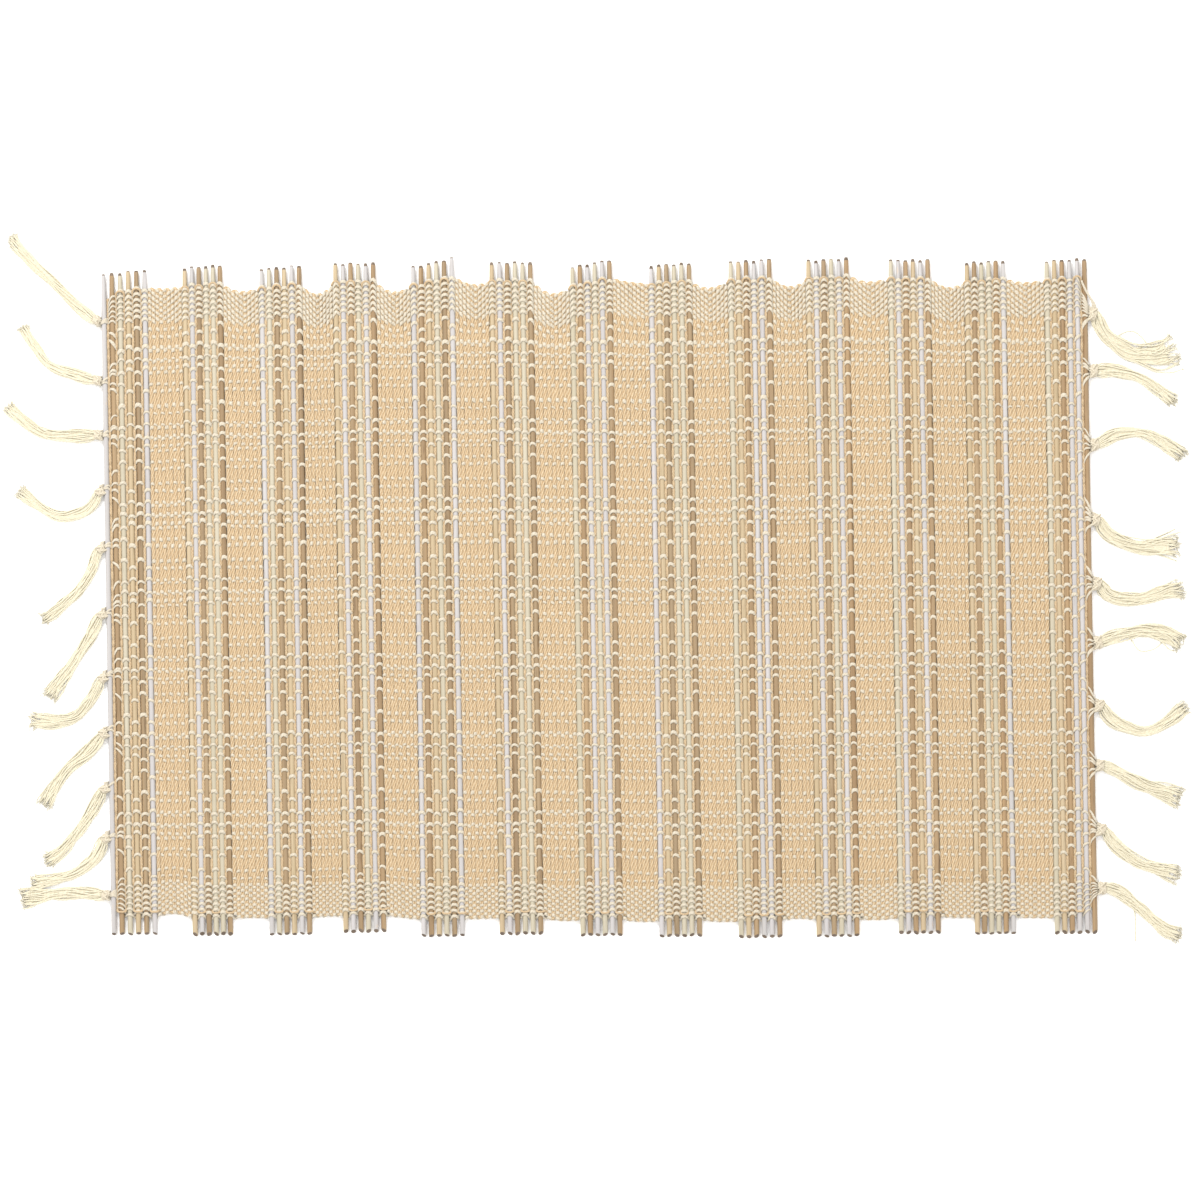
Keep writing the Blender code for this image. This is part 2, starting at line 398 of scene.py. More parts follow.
def sweep(paths, radii, sides, up, lobes=None, lay=None, tall=1.0, square=1.0, level=False):
    """Tubes along many paths at once. paths is (tubes, points, 3) and radii a number or (tubes, points).

    up is the direction that the first ring's first point faces, lobes the share of the radius for
    each side, lay the length of one twist and tall the stretch of the section along up (a number,
    or one for each tube and point). square below one flattens the section's four faces. level keeps the
    section facing up all along, instead of carrying it round the bends.
    """
    paths = np.asarray(paths, float)
    count, points, _ = paths.shape
    radii = np.broadcast_to(np.asarray(radii, float), (count, points))
    tangent = unit(np.gradient(paths, axis=1))
    if level:
        facing = np.asarray(up, float)
        normal = unit(facing - (tangent @ facing)[..., None] * tangent)
    else:
        normal = np.empty_like(paths)
        start = np.broadcast_to(np.asarray(up, float), (count, 3))
        for i in range(points):
            along = tangent[:, i]
            start = unit(start - np.sum(start * along, axis=1, keepdims=True) * along)
            normal[:, i] = start
    side = np.cross(tangent, normal)
    steps = np.linalg.norm(np.diff(paths, axis=1), axis=2)
    length = np.concatenate([np.zeros((count, 1)), np.cumsum(steps, axis=1)], axis=1)
    share = np.arange(sides) / sides
    angle = np.broadcast_to(2 * math.pi * share, (count, points, sides)).copy()
    if lay:
        angle += (2 * math.pi * length / lay)[..., None]
    reach = radii[..., None] * (np.ones(sides) if lobes is None else np.asarray(lobes))
    tall = np.broadcast_to(np.asarray(tall, float), (count, points))[..., None]
    rise, run = np.cos(angle), np.sin(angle)
    if square != 1.0:
        rise = np.sign(rise) * np.abs(rise) ** square
        run = np.sign(run) * np.abs(run) ** square
    verts = (
        paths[:, :, None]
        + (tall * reach * rise)[..., None] * normal[:, :, None]
        + (reach * run)[..., None] * side[:, :, None]
    )
    index = np.arange(count * points * sides).reshape(count, points, sides)
    here, there = index[:, :-1], index[:, 1:]
    quads = np.stack([here, np.roll(here, -1, 2), np.roll(there, -1, 2), there], axis=-1)
    u0 = np.broadcast_to(length[:, :-1, None], here.shape) / MM
    u1 = np.broadcast_to(length[:, 1:, None], here.shape) / MM
    v0 = np.broadcast_to(share, here.shape)
    v1 = v0 + 1.0 / sides
    uv = np.stack([
        np.stack([u0, v0], -1), np.stack([u0, v1], -1), np.stack([u1, v1], -1), np.stack([u1, v0], -1),
    ], axis=-2)
    caps = np.concatenate([index[:, 0, ::-1], index[:, -1]], axis=0)
    return {
        "verts": verts.reshape(-1, 3),
        "quads": quads.reshape(-1, 4),
        "uv": uv.reshape(-1, 2),
        "caps": caps,
    }


def placed(name, data):
    obj = bpy.data.objects.new(name, data)
    bpy.context.scene.collection.objects.link(obj)
    return obj


def mesh_object(name, parts, material):
    """One smooth mesh from one or more sweeps."""
    verts, loops, totals, uvs, offset = [], [], [], [], 0
    for part in parts:
        verts.append(part["verts"])
        loops += [(part["quads"] + offset).ravel(), (part["caps"] + offset).ravel()]
        sides = part["caps"].shape[1]
        totals += [np.full(len(part["quads"]), 4), np.full(len(part["caps"]), sides)]
        uvs += [part["uv"], np.zeros((part["caps"].size, 2))]
        offset += len(part["verts"])
    verts, loops = np.concatenate(verts), np.concatenate(loops)
    totals, uvs = np.concatenate(totals), np.concatenate(uvs)
    starts = np.concatenate([[0], np.cumsum(totals)[:-1]])
    mesh = bpy.data.meshes.new(name)
    mesh.vertices.add(len(verts))
    mesh.vertices.foreach_set("co", verts.astype(np.float32).ravel())
    mesh.loops.add(len(loops))
    mesh.loops.foreach_set("vertex_index", loops.astype(np.int32))
    mesh.polygons.add(len(totals))
    mesh.polygons.foreach_set("loop_start", starts.astype(np.int32))
    mesh.polygons.foreach_set("use_smooth", np.ones(len(totals), bool))
    mesh.update(calc_edges=True)
    layer = mesh.uv_layers.new(name="yarn")
    layer.data.foreach_set("uv", uvs.astype(np.float32).ravel())
    mesh.materials.append(material)
    obj = placed(name, mesh)
    return obj


# ---- places taken from the CAD ----

def node_points(node):
    mesh = frame["nodes"][node].data
    points = np.zeros(len(mesh.vertices) * 3)
    mesh.vertices.foreach_get("co", points)
    return points.reshape(-1, 3)


def joint_place(name):
    return next(joint["pos_m"] for joint in frame["joints"] if joint["name"] == name)


def stick_axes(group):
    """X of the axes of a group's six sticks, between the hinges at its two outer sticks."""
    left = joint_place("tassel_left_01_lift" if group == 0 else f"band_{group:02d}_right_edge")
    right = joint_place("tassel_right_01_lift" if group == BANDS else f"band_{group + 1:02d}_left_edge")
    return np.linspace(left[0], right[0], STICKS)


def stick_ends(group):
    """Lowest and highest Y of each of a group's sticks."""
    points = node_points(f"stick_group_{group + 1:02d}")
    ends = []
    for x in AXES[group]:
        near = points[np.abs(points[:, 0] - x) < STICK_RADIUS * 1.02]
        ends.append((near[:, 1].min(), near[:, 1].max()))
    return ends


def band_middle(band):
    """Lowest and highest Y of a band halfway between its two groups."""
    points = node_points(f"woven_band_{band + 1:02d}")
    middle = (points[:, 0].min() + points[:, 0].max()) / 2
    near = points[np.abs(points[:, 0] - middle) < 1.0 * MM]
    return near[:, 1].min(), near[:, 1].max()


AXES = [stick_axes(g) for g in range(GROUPS)]
ENDS = [stick_ends(g) for g in range(GROUPS)]


def pick_places(band):
    left = AXES[band][-1] + PICK_MARGIN
    right = AXES[band + 1][0] - PICK_MARGIN
    pitch = (right - left) / PICKS
    return left + pitch * (np.arange(PICKS) + 0.5), pitch


def weave_edges():
    """X of every stick and pick from left to right, with the Y of the weave's two ends there."""
    bare = np.array([BARE_BOTTOM, -BARE_TOP])
    xs, ends = [], []
    for group in range(GROUPS):
        xs += list(AXES[group])
        ends += [np.array(stick) + bare for stick in ENDS[group]]
        if group == BANDS:
            break
        left, right = ends[-1], np.array(ENDS[group + 1][0]) + bare
        sag = np.array(band_middle(group)) - (left + right) / 2
        for x in pick_places(group)[0]:
            t = (x - AXES[group][-1]) / (AXES[group + 1][0] - AXES[group][-1])
            xs.append(x)
            ends.append(left + (right - left) * t + 4 * t * (1 - t) * sag)
    return (np.array(xs), *np.array(ends).T)


EDGE_X, EDGE_LOW, EDGE_HIGH = weave_edges()
GROUP_X = np.array([axes.mean() for axes in AXES])
MEAN_LOW = np.array([np.mean([e[0] for e in ends]) for ends in ENDS]) + BARE_BOTTOM
MEAN_HIGH = np.array([np.mean([e[1] for e in ends]) for ends in ENDS]) - BARE_TOP


def smooth_share(value, low, high):
    t = np.clip((value - low) / (high - low), 0.0, 1.0)
    return t * t * (3 - 2 * t)


# ---- warp rows ----

def warp_rows():
    """(distance from the upper end, which elements it passes over) of every warp yarn."""
    height = float(np.mean(MEAN_HIGH - MEAN_LOW))
    rows = []
    for i in range(BORDER_ROWS):
        rows.append((BORDER_START_TOP + BORDER_PITCH * i, i % 2))
        rows.append((height - BORDER_START_BOTTOM - BORDER_PITCH * i, i % 2))
    cycles = int(height / FIELD_PERIOD) + 1
    for cycle in range(cycles):
        for parity, offsets in enumerate((FIELD_OVER_EVEN, FIELD_OVER_ODD)):
            for offset in offsets:
                depth = FIELD_PHASE + cycle * FIELD_PERIOD + offset * MM
                if FIELD_FIRST < depth < height - FIELD_LAST:
                    rows.append((depth, parity))
    return sorted(rows), height


ROWS, HEIGHT = warp_rows()
DEPTHS = np.array([row[0] for row in ROWS])
PARITY = np.array([row[1] for row in ROWS])
SIGN = np.where(PARITY == 0, 1.0, -1.0)[:, None]
WANDER = rng.normal(0.0, 1.0, (len(ROWS), len(EDGE_X) + 2))


def row_y(x):
    """Y of every warp row at each x: straight in the field, following the scalloped ends near them."""
    low, high = np.interp(x, EDGE_X, EDGE_LOW), np.interp(x, EDGE_X, EDGE_HIGH)
    low_mean, high_mean = np.interp(x, GROUP_X, MEAN_LOW), np.interp(x, GROUP_X, MEAN_HIGH)
    depth = DEPTHS[:, None]
    share = depth / HEIGHT
    y = high_mean + (low_mean - high_mean) * share
    y = y + (high - high_mean) * (1 - smooth_share(depth, SCALLOP_FULL, SCALLOP_NONE))
    y = y + (low - low_mean) * smooth_share(depth, HEIGHT - SCALLOP_NONE, HEIGHT - SCALLOP_FULL)
    places = np.linspace(EDGE_X[0], EDGE_X[-1], WANDER.shape[1])
    drift = np.array([np.interp(x, places, w) for w in WANDER])
    calm = np.where((depth < FIELD_FIRST) | (depth > HEIGHT - FIELD_LAST), 0.5, 1.0)
    return y + ROW_WANDER * calm * drift


def over_stick(offset, pitch):
    """Height of a warp yarn over a stick: an arc round it, then the straight run to the next."""
    ratio = 2 * STICK_LIFT / pitch
    touch = math.asin(min(0.98, ratio)) if ratio < 1 else math.radians(78)
    reach = abs(offset)
    edge_x, edge_z = STICK_LIFT * math.sin(touch), STICK_LIFT * math.cos(touch)
    if reach <= edge_x:
        return math.sqrt(STICK_LIFT * STICK_LIFT - reach * reach)
    return edge_z * max(0.0, (pitch / 2 - reach) / max(pitch / 2 - edge_x, 1e-6))


def over_pick(u):
    return PICK_LIFT * math.cos(u * math.pi / 2) ** 0.8


def weave_line():
    """The whole mat from left to right, for a yarn that goes over element 0, and where it is cut.

    Each point is its X, its height over the mat's middle, the number of the stick or pick that it
    belongs to, how far it leans there and how strongly it bows.
    """
    line, cuts = [], {}
    element = 0
    stick_steps = (-1.0, -0.72, -0.36, 0.0, 0.36, 0.72)
    pick_steps = (-1.0, -0.5, 0.0, 0.5)
    for group in range(GROUPS):
        axes = AXES[group]
        pitch = axes[1] - axes[0]
        for stick, axis in enumerate(axes):
            sign = 1.0 if element % 2 == 0 else -1.0
            inner_left = pitch / 2 - CROSSING_SHIFT if stick else STICK_GAP
            inner_right = pitch / 2 + CROSSING_SHIFT if stick < STICKS - 1 else STICK_GAP
            if stick == STICKS // 2:
                cuts[f"group_{group}"] = len(line)
            if stick == 0 and group == 0:
                inner_left = pitch / 2
            for u in stick_steps:
                half = inner_left if u < 0 else inner_right
                height = 0.0 if u == -1.0 else sign * over_stick(u * half, 2 * half)
                line.append((axis + u * half, height, element, 0.0, ARCH))
            element += 1
        if group == BANDS:
            line.append((axes[-1] + pitch / 2, 0.0, element, 0.0, ARCH))
            break
        places, pick_pitch = pick_places(group)
        for pick, place in enumerate(places):
            sign = 1.0 if element % 2 == 0 else -1.0
            left_half = pick_pitch / 2 if pick else place - (axes[-1] + STICK_GAP)
            for u in pick_steps:
                if pick == PICKS // 2 and u == 0.0:
                    cuts[f"band_{group}"] = len(line)
                x = place + u * (left_half if u < 0 else pick_pitch / 2)
                height = 0.0 if u == -1.0 else sign * over_pick(u)
                turn = -sign * u * min(1.0, pick + 0.5 * (1 + u), PICKS - 1 - pick + 0.5 * (1 - u))
                line.append((x, height, element, turn, PICK_ARCH))
            element += 1
    return (*np.array(line).T, cuts)


LINE_X, LINE_Z, LINE_MARK, LINE_TURN, LINE_ARCH, CUTS = weave_line()
LINE_MARK = LINE_MARK.astype(int)
ELEMENTS = int(LINE_MARK.max()) + 1
BULGE = rng.normal(0.0, 0.05, (len(ROWS), ELEMENTS + 1))
IN_FIELD = (DEPTHS > FIELD_FIRST) & (DEPTHS < HEIGHT - FIELD_LAST)
FIELD_WIDTHS = np.clip(rng.normal(1.5, 0.27, len(ROWS)), 1.05, 2.0)
BORDER_WIDTHS = np.clip(rng.normal(1.5, 0.08, len(ROWS)), 1.3, 1.7)
WARP_WIDTHS = WARP_WIDE * np.where(IN_FIELD, FIELD_WIDTHS, BORDER_WIDTHS)


def skew(x):
    """How far each row's yarn leans where it crosses a pick: with the slope of the woven end near it."""
    step = 1.5 * MM
    lean = []
    for edge in (EDGE_HIGH, EDGE_LOW):
        slope = (np.interp(x + step, EDGE_X, edge) - np.interp(x - step, EDGE_X, edge)) / (2 * step)
        lean.append(np.clip(-slope / SKEW_SLOPE, -1.0, 1.0))
    depth = DEPTHS[:, None]
    top = 1 - smooth_share(depth, SKEW_FULL, SKEW_NONE)
    bottom = smooth_share(depth, HEIGHT - SKEW_NONE, HEIGHT - SKEW_FULL)
    field = (1 - top - bottom) * FIELD_SKEW * np.sign(np.sin(1.7 * depth / MM))
    return BORDER_SKEW * (top * lean[0] + bottom * BOTTOM_LEAN * lean[1]) + field


def warp_paths(first, last):
    """Paths of every row between two places on the weave line."""
    part = slice(first, last + 1)
    x = LINE_X[part]
    z = LINE_Z[part] * SIGN * (1 + BULGE[:, LINE_MARK[part]] * 0.5)
    y = row_y(x) + LINE_ARCH[part] * z + skew(x) * (LINE_TURN[part] * SIGN)
    return np.stack([np.broadcast_to(x, y.shape), y, np.maximum(z + MID, WARP_LOWEST)], axis=-1)


def warp_thickness(paths):
    return WARP_RADIUS * (1 + np.clip(rng.normal(0.0, 0.05, paths.shape[:2]), -0.12, 0.12))


def warp_sweep(paths, widths):
    return sweep(paths, warp_thickness(paths), WARP_SIDES, (0, 1, 0), tall=widths, level=True)


def make_warps(materials):
    """The warp between the middle of a group and the middle of a band, one mesh for each side of every band.
    """
    for band in range(BANDS):
        left, middle, right = CUTS[f"group_{band}"], CUTS[f"band_{band}"], CUTS[f"group_{band + 1}"]
        sides = (
            ("left", left, middle, AXES[band][-1], f"group_{band + 1:02d}", f"band_{band + 1:02d}"),
            ("right", middle, right, AXES[band + 1][0], f"band_{band + 1:02d}", f"group_{band + 2:02d}"),
        )
        for side, first, last, hinge, before, after in sides:
            part = warp_sweep(warp_paths(first, last), WARP_WIDTHS[:, None])
            name = f"warp_band_{band + 1:02d}_{side}"
            obj = mesh_object(name, [part], materials["warp"])
            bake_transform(obj)
            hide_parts(f"woven_band_{band + 1:02d}")


# ---- weft ----

def pick_path(band):
    """One weft yarn going to and fro through a band, turning round at each woven end."""
    places, pitch = pick_places(band)
    low = np.interp(places, EDGE_X, EDGE_LOW)
    high = np.interp(places, EDGE_X, EDGE_HIGH)
    points = []
    for pick, x in enumerate(places):
        upward = pick % 2 == 0
        y0, y1 = low[pick] + PICK_END_BOTTOM, high[pick] - PICK_END_TOP
        ys = np.linspace(y0, y1, round((y1 - y0) / PICK_STEP))[::1 if upward else -1]
        wave = 0.12 * MM * np.sin(ys / (6.1 * MM) + 2.3 * pick + band)
        points += [(x + w, y, MID) for y, w in zip(ys, wave)]
        if pick == PICKS - 1:
            break
        sign = 1.0 if upward else -1.0
        y_next = high[pick + 1] - PICK_END_TOP if upward else low[pick + 1] + PICK_END_BOTTOM
        for step in range(1, TURN_STEPS):
            a = math.pi * step / TURN_STEPS
            share = (1 - math.cos(a)) / 2
            y = ys[-1] + (y_next - ys[-1]) * share + sign * PICK_TURN * pitch * math.sin(a)
            points.append((x + (places[pick + 1] - x) * share, y, MID))
    return np.array(points), pitch


def pick_nudge(path):
    """The height by which warp yarns press a pick down or up where they cross it."""
    index = np.abs(EDGE_X[:, None] - path[None, :, 0]).argmin(axis=0)
    rows = row_y(EDGE_X)
    sign = np.where((index % 2)[None, :] == PARITY[:, None], -1.0, 1.0)
    gap = (path[None, :, 1] - rows[:, index]) / NUDGE_REACH
    press = (sign * np.exp(-gap * gap)).sum(axis=0)
    return NUDGE * np.clip(press, -1, 1)


def near_border(x, y):
    """One where the warp is dense at the woven ends, and zero in the field."""
    depth = np.minimum(np.interp(x, EDGE_X, EDGE_HIGH) - y, y - np.interp(x, EDGE_X, EDGE_LOW))
    return 1 - smooth_share(depth, PRESS_FULL, PRESS_NONE)


def make_bands(materials):
    made = []
    lobes = np.tile([0.72, 0.96, 1.0, 0.96], PICK_LOBES)
    for band in range(BANDS):
        path, pitch = pick_path(band)
        path[:, 2] += pick_nudge(path)
        fat = 0.5 * pitch * PICK_FULL * (1 + 0.035 * np.sin(path[:, 1] / (4.3 * MM) + band))
        tall = PICK_HALF_HEIGHT / (0.5 * pitch * PICK_FULL)
        tall = tall * (1 - BORDER_PRESS * near_border(path[:, 0], path[:, 1]))
        part = sweep(path[None], fat[None], len(lobes), UP, lobes, PICK_LAY, tall[None], PICK_SQUARE, True)
        name = f"weft_band_{band + 1:02d}"
        obj = mesh_object(name, [part], materials["weft"])
        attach(obj, f"band_{band + 1:02d}")
        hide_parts(f"woven_band_{band + 1:02d}")
        made.append(obj)
    return made


def thread_path(group):
    """The weft yarn of a stick group, beside its sticks and over every other one at each woven end."""
    axes = AXES[group]
    beside = (axes[1] - axes[0]) / 2
    points, radii = [], []
    for stick, axis in enumerate(axes):
        low, high = ENDS[group][stick]
        upper = stick % 2 == 0
        sign = 1.0 if upper else -1.0
        end = high - BARE_TOP if upper else low + BARE_BOTTOM
        rise = LOOP_RISE_TOP if upper else LOOP_RISE_BOTTOM
        left = axes[stick - 1] + beside if stick else axis - (STICK_RADIUS + 0.5 * MM)
        right = axis + beside
        outermost = (group, stick) in ((0, 0), (BANDS, STICKS - 1))
        if not outermost:
            for step in range(LOOP_STEPS + 1):
                a = math.pi * step / LOOP_STEPS
                x = (left + right) / 2 - (right - left) / 2 * math.cos(a)
                y = end - sign * LOOP_END + sign * rise * math.sin(a) ** 0.8
                climb = STICK_RADIUS + LOOP_RADIUS - THREAD_RAISE - 0.1 * MM
                z = MID + THREAD_RAISE + climb * math.sin(a) ** 0.7
                points.append((x, y, z))
                radii.append(THREAD_RADIUS + (LOOP_RADIUS - THREAD_RADIUS) * math.sin(a) ** 0.5)
        if stick == STICKS - 1:
            break
        next_low, next_high = ENDS[group][stick + 1]
        far = next_low + BARE_BOTTOM if upper else next_high - BARE_TOP
        ease = sign * (LOOP_END + 1.3 * MM)
        near_y, far_y = end - ease, far + ease
        ys = np.linspace(near_y, far_y, int(abs(near_y - far_y) / THREAD_STEP))
        wave = 0.06 * MM * np.sin(ys / (5.2 * MM) + stick)
        gap = (ys[:, None] - row_y(np.array([right]))[:, 0]) / (1.0 * MM)
        press = THREAD_PRESS * np.minimum(1.0, np.exp(-gap * gap).sum(axis=1))
        points += [(right + w, y, MID + THREAD_RAISE - d) for y, w, d in zip(ys, wave, press)]
        radii += [THREAD_RADIUS] * len(ys)
    return np.array(points), np.array(radii)


def make_threads(materials):
    lobes = np.tile([0.86, 1.0], PICK_LOBES)
    for group in range(GROUPS):
        path, radii = thread_path(group)
        part = sweep(path[None], radii[None], len(lobes), UP, lobes, THREAD_LAY, THREAD_TALL, level=True)
        name = f"weft_group_{group + 1:02d}"
        obj = mesh_object(name, [part], materials["weft"])
        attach(obj, f"group_{group + 1:02d}")
        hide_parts(f"stick_group_{group + 1:02d}")


# ---- sticks ----

def stick_mesh(name, x, low, high, group, stick, slender):
    """A round stick: sawn slanting at its lower end, tapered and rounded at its upper end."""
    sides = STICK_SIDES
    cut = STICK_CUT * (0.8 + 0.4 * math.sin(3.1 * stick + 1.7 * group) ** 2)
    lean = 0.5 * math.sin(2.2 * stick + 4.4 * group)
    taper = STICK_TAPER + 0.5 * MM * math.sin(1.3 * stick + 2.9 * group)
    tip = STICK_TIP + 0.1 * math.sin(4.7 * stick + group)
    stations = [(low + 0.02 * MM, 0.93), (low + 0.35 * MM, 1.0)]
    length = high - low
    for n in range(1, STICK_RINGS):
        stations.append((low + 2 * MM + (length - taper - 3 * MM) * n / STICK_RINGS, 1.0))
    stations += [
        (high - taper, 0.98), (high - taper * 0.62, 0.89), (high - taper * 0.34, 0.76),
        (high - taper * 0.12, tip + 0.12), (high - 0.01 * MM, tip),
    ]
    bow = STICK_BOW * math.sin(1.9 * stick + 0.7 * group)
    verts, faces = [], []
    for row, (y, share) in enumerate(stations):
        t = (y - low) / length
        share *= 1 - slender * smooth_share(y, high - SLENDER_FROM, high - SLENDER_TO)
        radius = STICK_RADIUS * share * (1 + 0.012 * math.sin(9 * t + stick))
        centre = x + bow * math.sin(math.pi * t)
        for k in range(sides):
            a = 2 * math.pi * k / sides
            dx, dz = radius * math.cos(a), radius * math.sin(a)
            slant = cut * (0.5 + 0.5 * (dz + lean * dx) / STICK_RADIUS) if row < 2 else 0.0
            verts.append((centre + dx, y + slant, MID + dz))
    last = len(verts) - sides
    for start in range(0, last, sides):
        for k in range(sides):
            here, there = start + k, start + (k + 1) % sides
            faces.append((here, here + sides, there + sides, there))
    faces.append(tuple(range(sides)))
    faces.append(tuple(reversed(range(last, len(verts)))))
    mesh = bpy.data.meshes.new(name)
    mesh.from_pydata(verts, [], faces)
    mesh.update()
    return mesh


def make_sticks(materials):
    for group in range(GROUPS):
        for stick in range(STICKS):
            name = f"stick_{group + 1:02d}_{stick + 1}"
            low, high = ENDS[group][stick]
            paint = STICK_COLOURS[group][stick]
            mesh = stick_mesh(name, AXES[group][stick], low, high, group, stick, SLENDER_TIPS[paint])
            mesh.materials.append(materials[PAINTS[paint]])
            mesh.materials.append(materials["end"])
            tube_faces = len(mesh.polygons) - 2
            # Both caps and the last rings of each tip take the very deep brown end material.
            tip_rings = 3 if (group + stick) % 3 == 0 else 4
            for face in mesh.polygons:
                face.use_smooth = face.index < tube_faces
                face.material_index = int(face.index >= tube_faces - tip_rings * STICK_SIDES)
            obj = placed(name, mesh)
            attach(obj, f"group_{group + 1:02d}")
            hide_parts(f"stick_group_{group + 1:02d}")


# ---- gathered ends, knots and tassels ----

def heading_at(headings, t):
    place = t * (len(headings) - 1)
    index = min(int(place), len(headings) - 2)
    share = place - index
    share = share * share * (3 - 2 * share)
    return headings[index] + (headings[index + 1] - headings[index]) * share


def knot_turn(side, headings):
    """How far a knot is turned towards its tassel's heading, in radians."""
    share = 0.2 if side > 0 else 0.62
    return math.radians(max(-40.0, min(40.0, share * headings[0])))


def knot_frame(side, axis, place, turn):
    """Where a knot's axis leaves the outer stick, and its outward and sideways directions."""
    root = np.array([axis + side * (STICK_RADIUS + 0.3 * MM), place])
    outward = np.array([side * math.cos(turn), math.sin(turn)])
    across = np.array([-side * math.sin(turn), math.cos(turn)])
    return root, outward, across


def tassel_line(side, axis, place, length, headings):
    """Middle line of a tassel on the XY plane, from inside the knot to the tip."""
    root, outward, _ = knot_frame(side, axis, place, knot_turn(side, headings))
    points = [tuple(root + outward * KNOT_LENGTH * 0.5), tuple(root + outward * KNOT_LENGTH)]
    x, y = points[-1]
    fine = 8
    count = fine * TASSEL_STEPS
    step = (length - KNOT_LENGTH) / count
    for n in range(1, count + 1):
        angle = math.radians(heading_at(headings, (n - 0.5) / count))
        x += side * step * math.cos(angle)
        y += step * math.sin(angle)
        if n % fine == 0:
            points.append((x, y))
    return np.array(points)


def loose_paths(line, tip_half, seed):
    """Yarns of one tassel: bunched at the knot, lying over one another and spread at the tip."""
    local = np.random.default_rng(seed)
    steps = np.linalg.norm(np.diff(line, axis=0), axis=1)
    length = np.concatenate([[0], np.cumsum(steps)])
    share = length / length[-1]
    tangent = unit(np.gradient(line, axis=0))
    across = np.stack([-tangent[:, 1], tangent[:, 0]], axis=1)
    neck, body = local.uniform(2.9, 3.8), 1.6 + 0.3 * tip_half
    spread = np.interp(share, (0.0, 0.1, 0.22, 0.45, 0.62, 1.0), (2.0, neck, neck, body, body, tip_half)) * MM
    lanes = np.linspace(-1, 1, TASSEL_YARNS)[local.permutation(TASSEL_YARNS)]
    index = np.arange(len(share))
    paths = []
    for n in range(TASSEL_YARNS):
        rate, shift = local.uniform(1.0, 2.2), local.uniform(0, 2 * math.pi)
        sway = lanes[n] + 0.22 * np.sin(2 * math.pi * rate * share + shift)
        wiggle = 0.3 * MM * share * np.sin(2 * math.pi * local.uniform(2.5, 5) * share + shift * 2)
        offset = sway * spread + wiggle
        layer = (n % 3) * 0.5 * MM
        settle = smooth_share(share, 0.0, 0.2)
        at_knot = 2.6 * MM + 0.6 * MM * math.sin(shift)
        ripple = 0.2 * MM * (1 + np.sin(shift + 9 * share)) * share
        laid = CORE_HEIGHT + layer * (1 - 0.5 * share ** 2) + ripple
        height = at_knot * (1 - settle) + settle * laid
        trim = local.uniform(0.93, 1.0)
        along = np.interp(share * trim, share, index)
        points = np.column_stack([line + across * offset[:, None], height])
        paths.append(np.column_stack([np.interp(along, index, values) for values in points.T]))
    return np.array(paths), spread, local


def stray_path(side, line, share, headings, length):
    """One loose yarn that leaves the tassel part way along."""
    place = share * (len(line) - 1)
    x, y = line[int(place)]
    steps = 30
    points = [(x, y, 1.6 * MM)]
    for n in range(1, steps + 1):
        angle = math.radians(heading_at(headings, (n - 0.5) / steps))
        x += side * length / steps * math.cos(angle)
        y += length / steps * math.sin(angle)
        points.append((x, y, 0.45 * MM + 1.15 * MM * max(0.0, 1 - 3 * n / steps)))
    return np.array(points)


def frayed_tips(paths, local):
    """Fine fibres that open out of each yarn's tip."""
    tips = []
    for path in paths:
        end = path[-1]
        heading = unit(path[-1] - path[-4])
        side = np.array([-heading[1], heading[0], 0.0])
        for _ in range(4):
            angle = local.normal(0.0, 0.34)
            reach = local.uniform(2.0, 5.5) * MM
            curl = local.normal(0.0, 0.5)
            points = []
            base = end - heading * 1.5 * MM
            for step in range(7):
                t = step / 6
                turn = angle + curl * t
                direction = heading * math.cos(turn) + side * math.sin(turn)
                point = base + direction * reach * t
                point[2] = max(0.22 * MM, end[2] * (1 - t) + 0.3 * MM * t)
                points.append(point)
            tips.append(points)
    return np.array(tips)


def knot_paths(side, axis, place, turn, seed):
    """Strands wrapped round the gathered ends: an overhand knot against the outer stick."""
    local = np.random.default_rng(seed)
    root, outward, across = knot_frame(side, axis, place, turn)
    centre = np.array([*(root + outward * KNOT_MIDDLE), MID + 0.35 * MM])
    along, sideways, up = np.array([*outward, 0.0]), np.array([*across, 0.0]), np.array([0.0, 0.0, 1.0])
    size = local.uniform(0.86, 1.08)
    tall = size * (KNOT_TALL_RIGHT if side > 0 else KNOT_TALL_LEFT)
    wraps = []
    tilt = local.uniform(-0.3, 0.3)
    for strand in range(5):
        start = local.uniform(-0.3, 0.3)
        points = []
        for step in range(27):
            a = start + 2 * math.pi * 1.12 * step / 26
            bulk = 1.0 - 0.08 * abs(strand - 2)
            dy = tall * bulk * math.cos(a)
            dz = KNOT_DEEP * bulk * math.sin(a)
            dx = (strand - 2) * 0.8 * MM + 0.5 * MM * math.sin(a + 0.6) + tilt * dy
            points.append(centre + along * dx + sideways * dy + up * dz)
        wraps.append(points)
    lumps = []
    for strand in range(3):
        points = []
        for step in range(17):
            t = step / 16
            a = math.pi * (t - 0.5)
            dy = (strand - 1) * 0.5 * tall + 0.5 * tall * math.sin(a) * (1 if strand != 1 else -0.8)
            dx = 2.3 * MM * (2 * t - 1)
            dz = KNOT_DEEP * math.cos(a) + 0.5 * MM
            points.append(centre + along * dx + sideways * dy + up * dz)
        lumps.append(points)
    return np.array(wraps), np.array(lumps)


